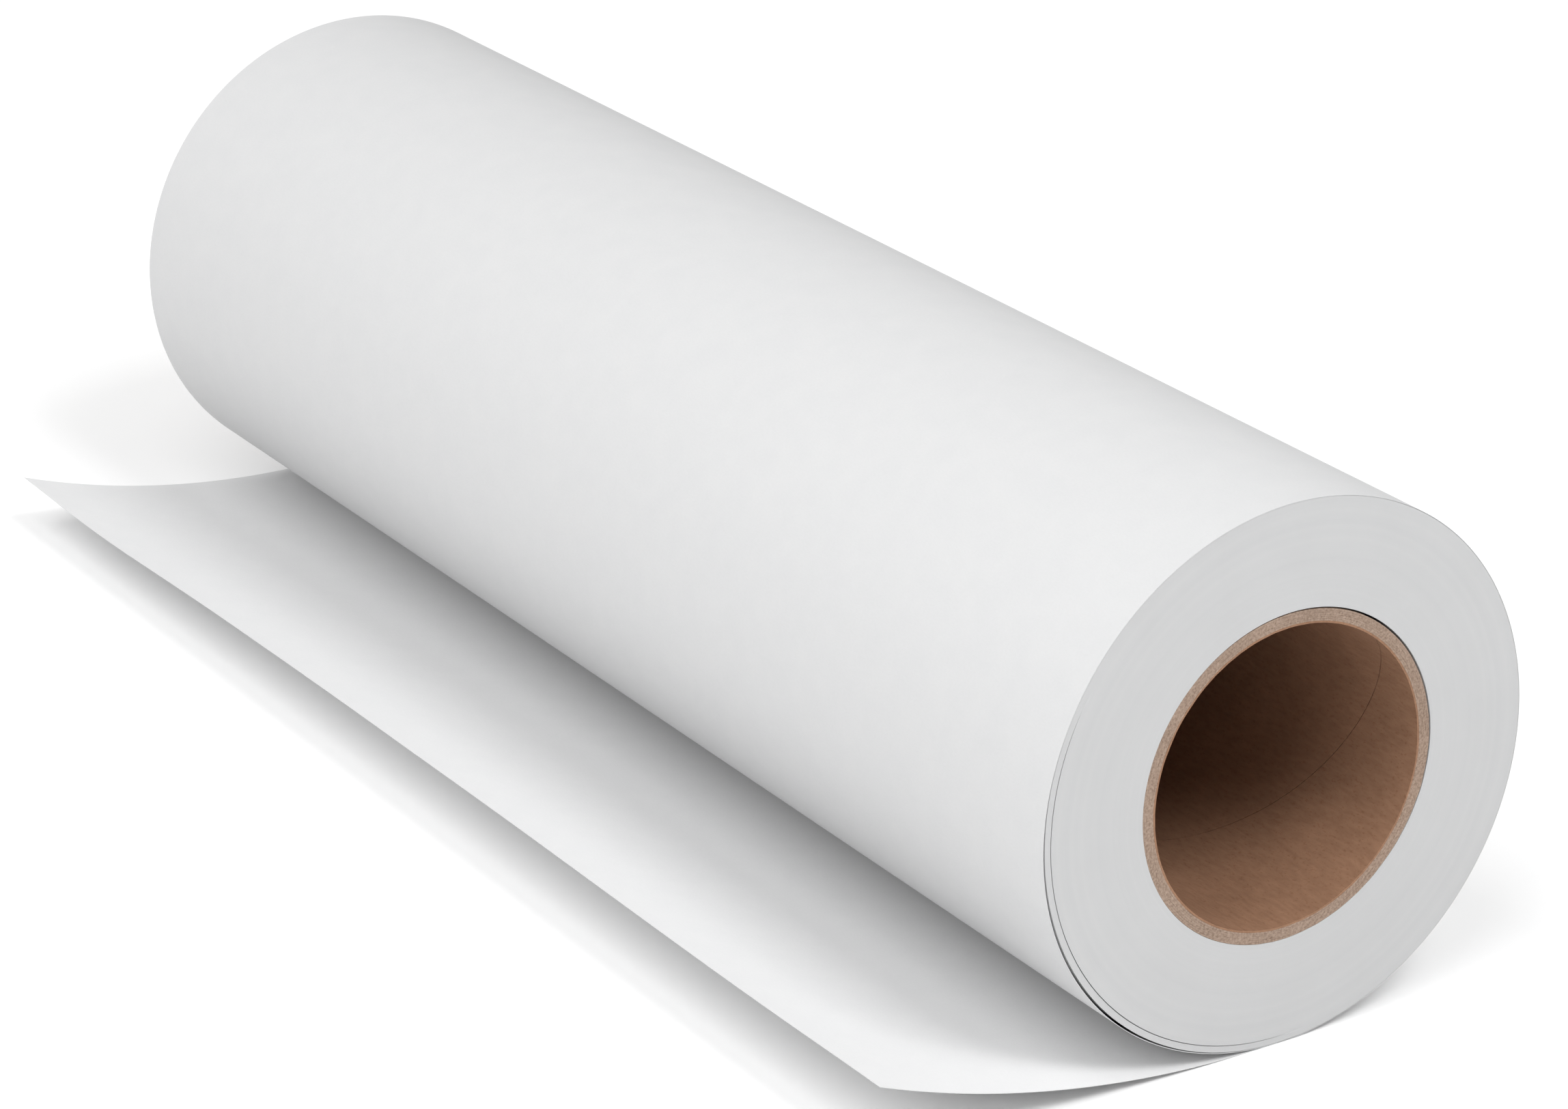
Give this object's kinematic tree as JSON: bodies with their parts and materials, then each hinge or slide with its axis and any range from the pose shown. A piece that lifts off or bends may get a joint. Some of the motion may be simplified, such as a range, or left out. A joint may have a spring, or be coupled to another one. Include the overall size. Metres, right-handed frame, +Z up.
{
  "type": "roll of plotter paper",
  "caption": "Roll of white wide-format plotter paper on a spiral-wound cardboard core, with the first stretch of the sheet unrolled and its free end curling up.",
  "frame": {"origin": "on the axis of the core's bore, half way along the core", "axes": "+X along the core's axis, -Y towards the unrolled free end of the sheet, +Z up"},
  "size_m": [0.4572, 0.1819, 0.1382],
  "materials": {
    "core_liner_board": "matt kraft liner",
    "core_wall_board": "grey-brown core board, cut edge",
    "core_cover_board": "matt kraft",
    "tape": "translucent double-sided tape",
    "wound_paper": "cut edges of wound bond paper",
    "web_paper": "uncoated white bond paper"
  },
  "bodies": {
    "sheet": {"floor_sheet": "web_paper", "turning_sheet": "web_paper"},
    "loose_lap": {"outer_lap": "web_paper"},
    "roll": {"core_liner_ply": "core_liner_board", "core_wall_ply_1": "core_wall_board", "core_wall_ply_2": "core_wall_board", "core_wall_ply_3": "core_wall_board", "core_wall_ply_4": "core_wall_board", "core_wall_ply_5": "core_wall_board", "core_cover_ply": "core_cover_board", "start_tape_1": "tape", "start_tape_2": "tape", "start_tape_3": "tape", "wound_web": "wound_paper"},
    "flap": {"free_end": "web_paper"}
  },
  "joints": [
    {"name": "roll_away", "type": "slide", "parent": "sheet", "child": "loose_lap", "axis": [0, 1, 0], "range_m": [0, 0.433], "deforming": ["turning_sheet"]},
    {"name": "roll_turn", "type": "hinge", "parent": "loose_lap", "child": "roll", "pos_m": [0, 0, 0], "axis": [1, 0, 0], "range_deg": [-360, 0]},
    {"name": "flap_lift", "type": "hinge", "parent": "sheet", "child": "flap", "pos_m": [0, -0.04, -0.0669], "axis": [-1, 0, 0], "range_deg": [-4, 40], "stiffness_Nm_per_rad": 0.02}
  ],
  "couplings": [
    {"joint": "roll_turn", "follows": "roll_away", "rad_per_m": -14.51}
  ]
}
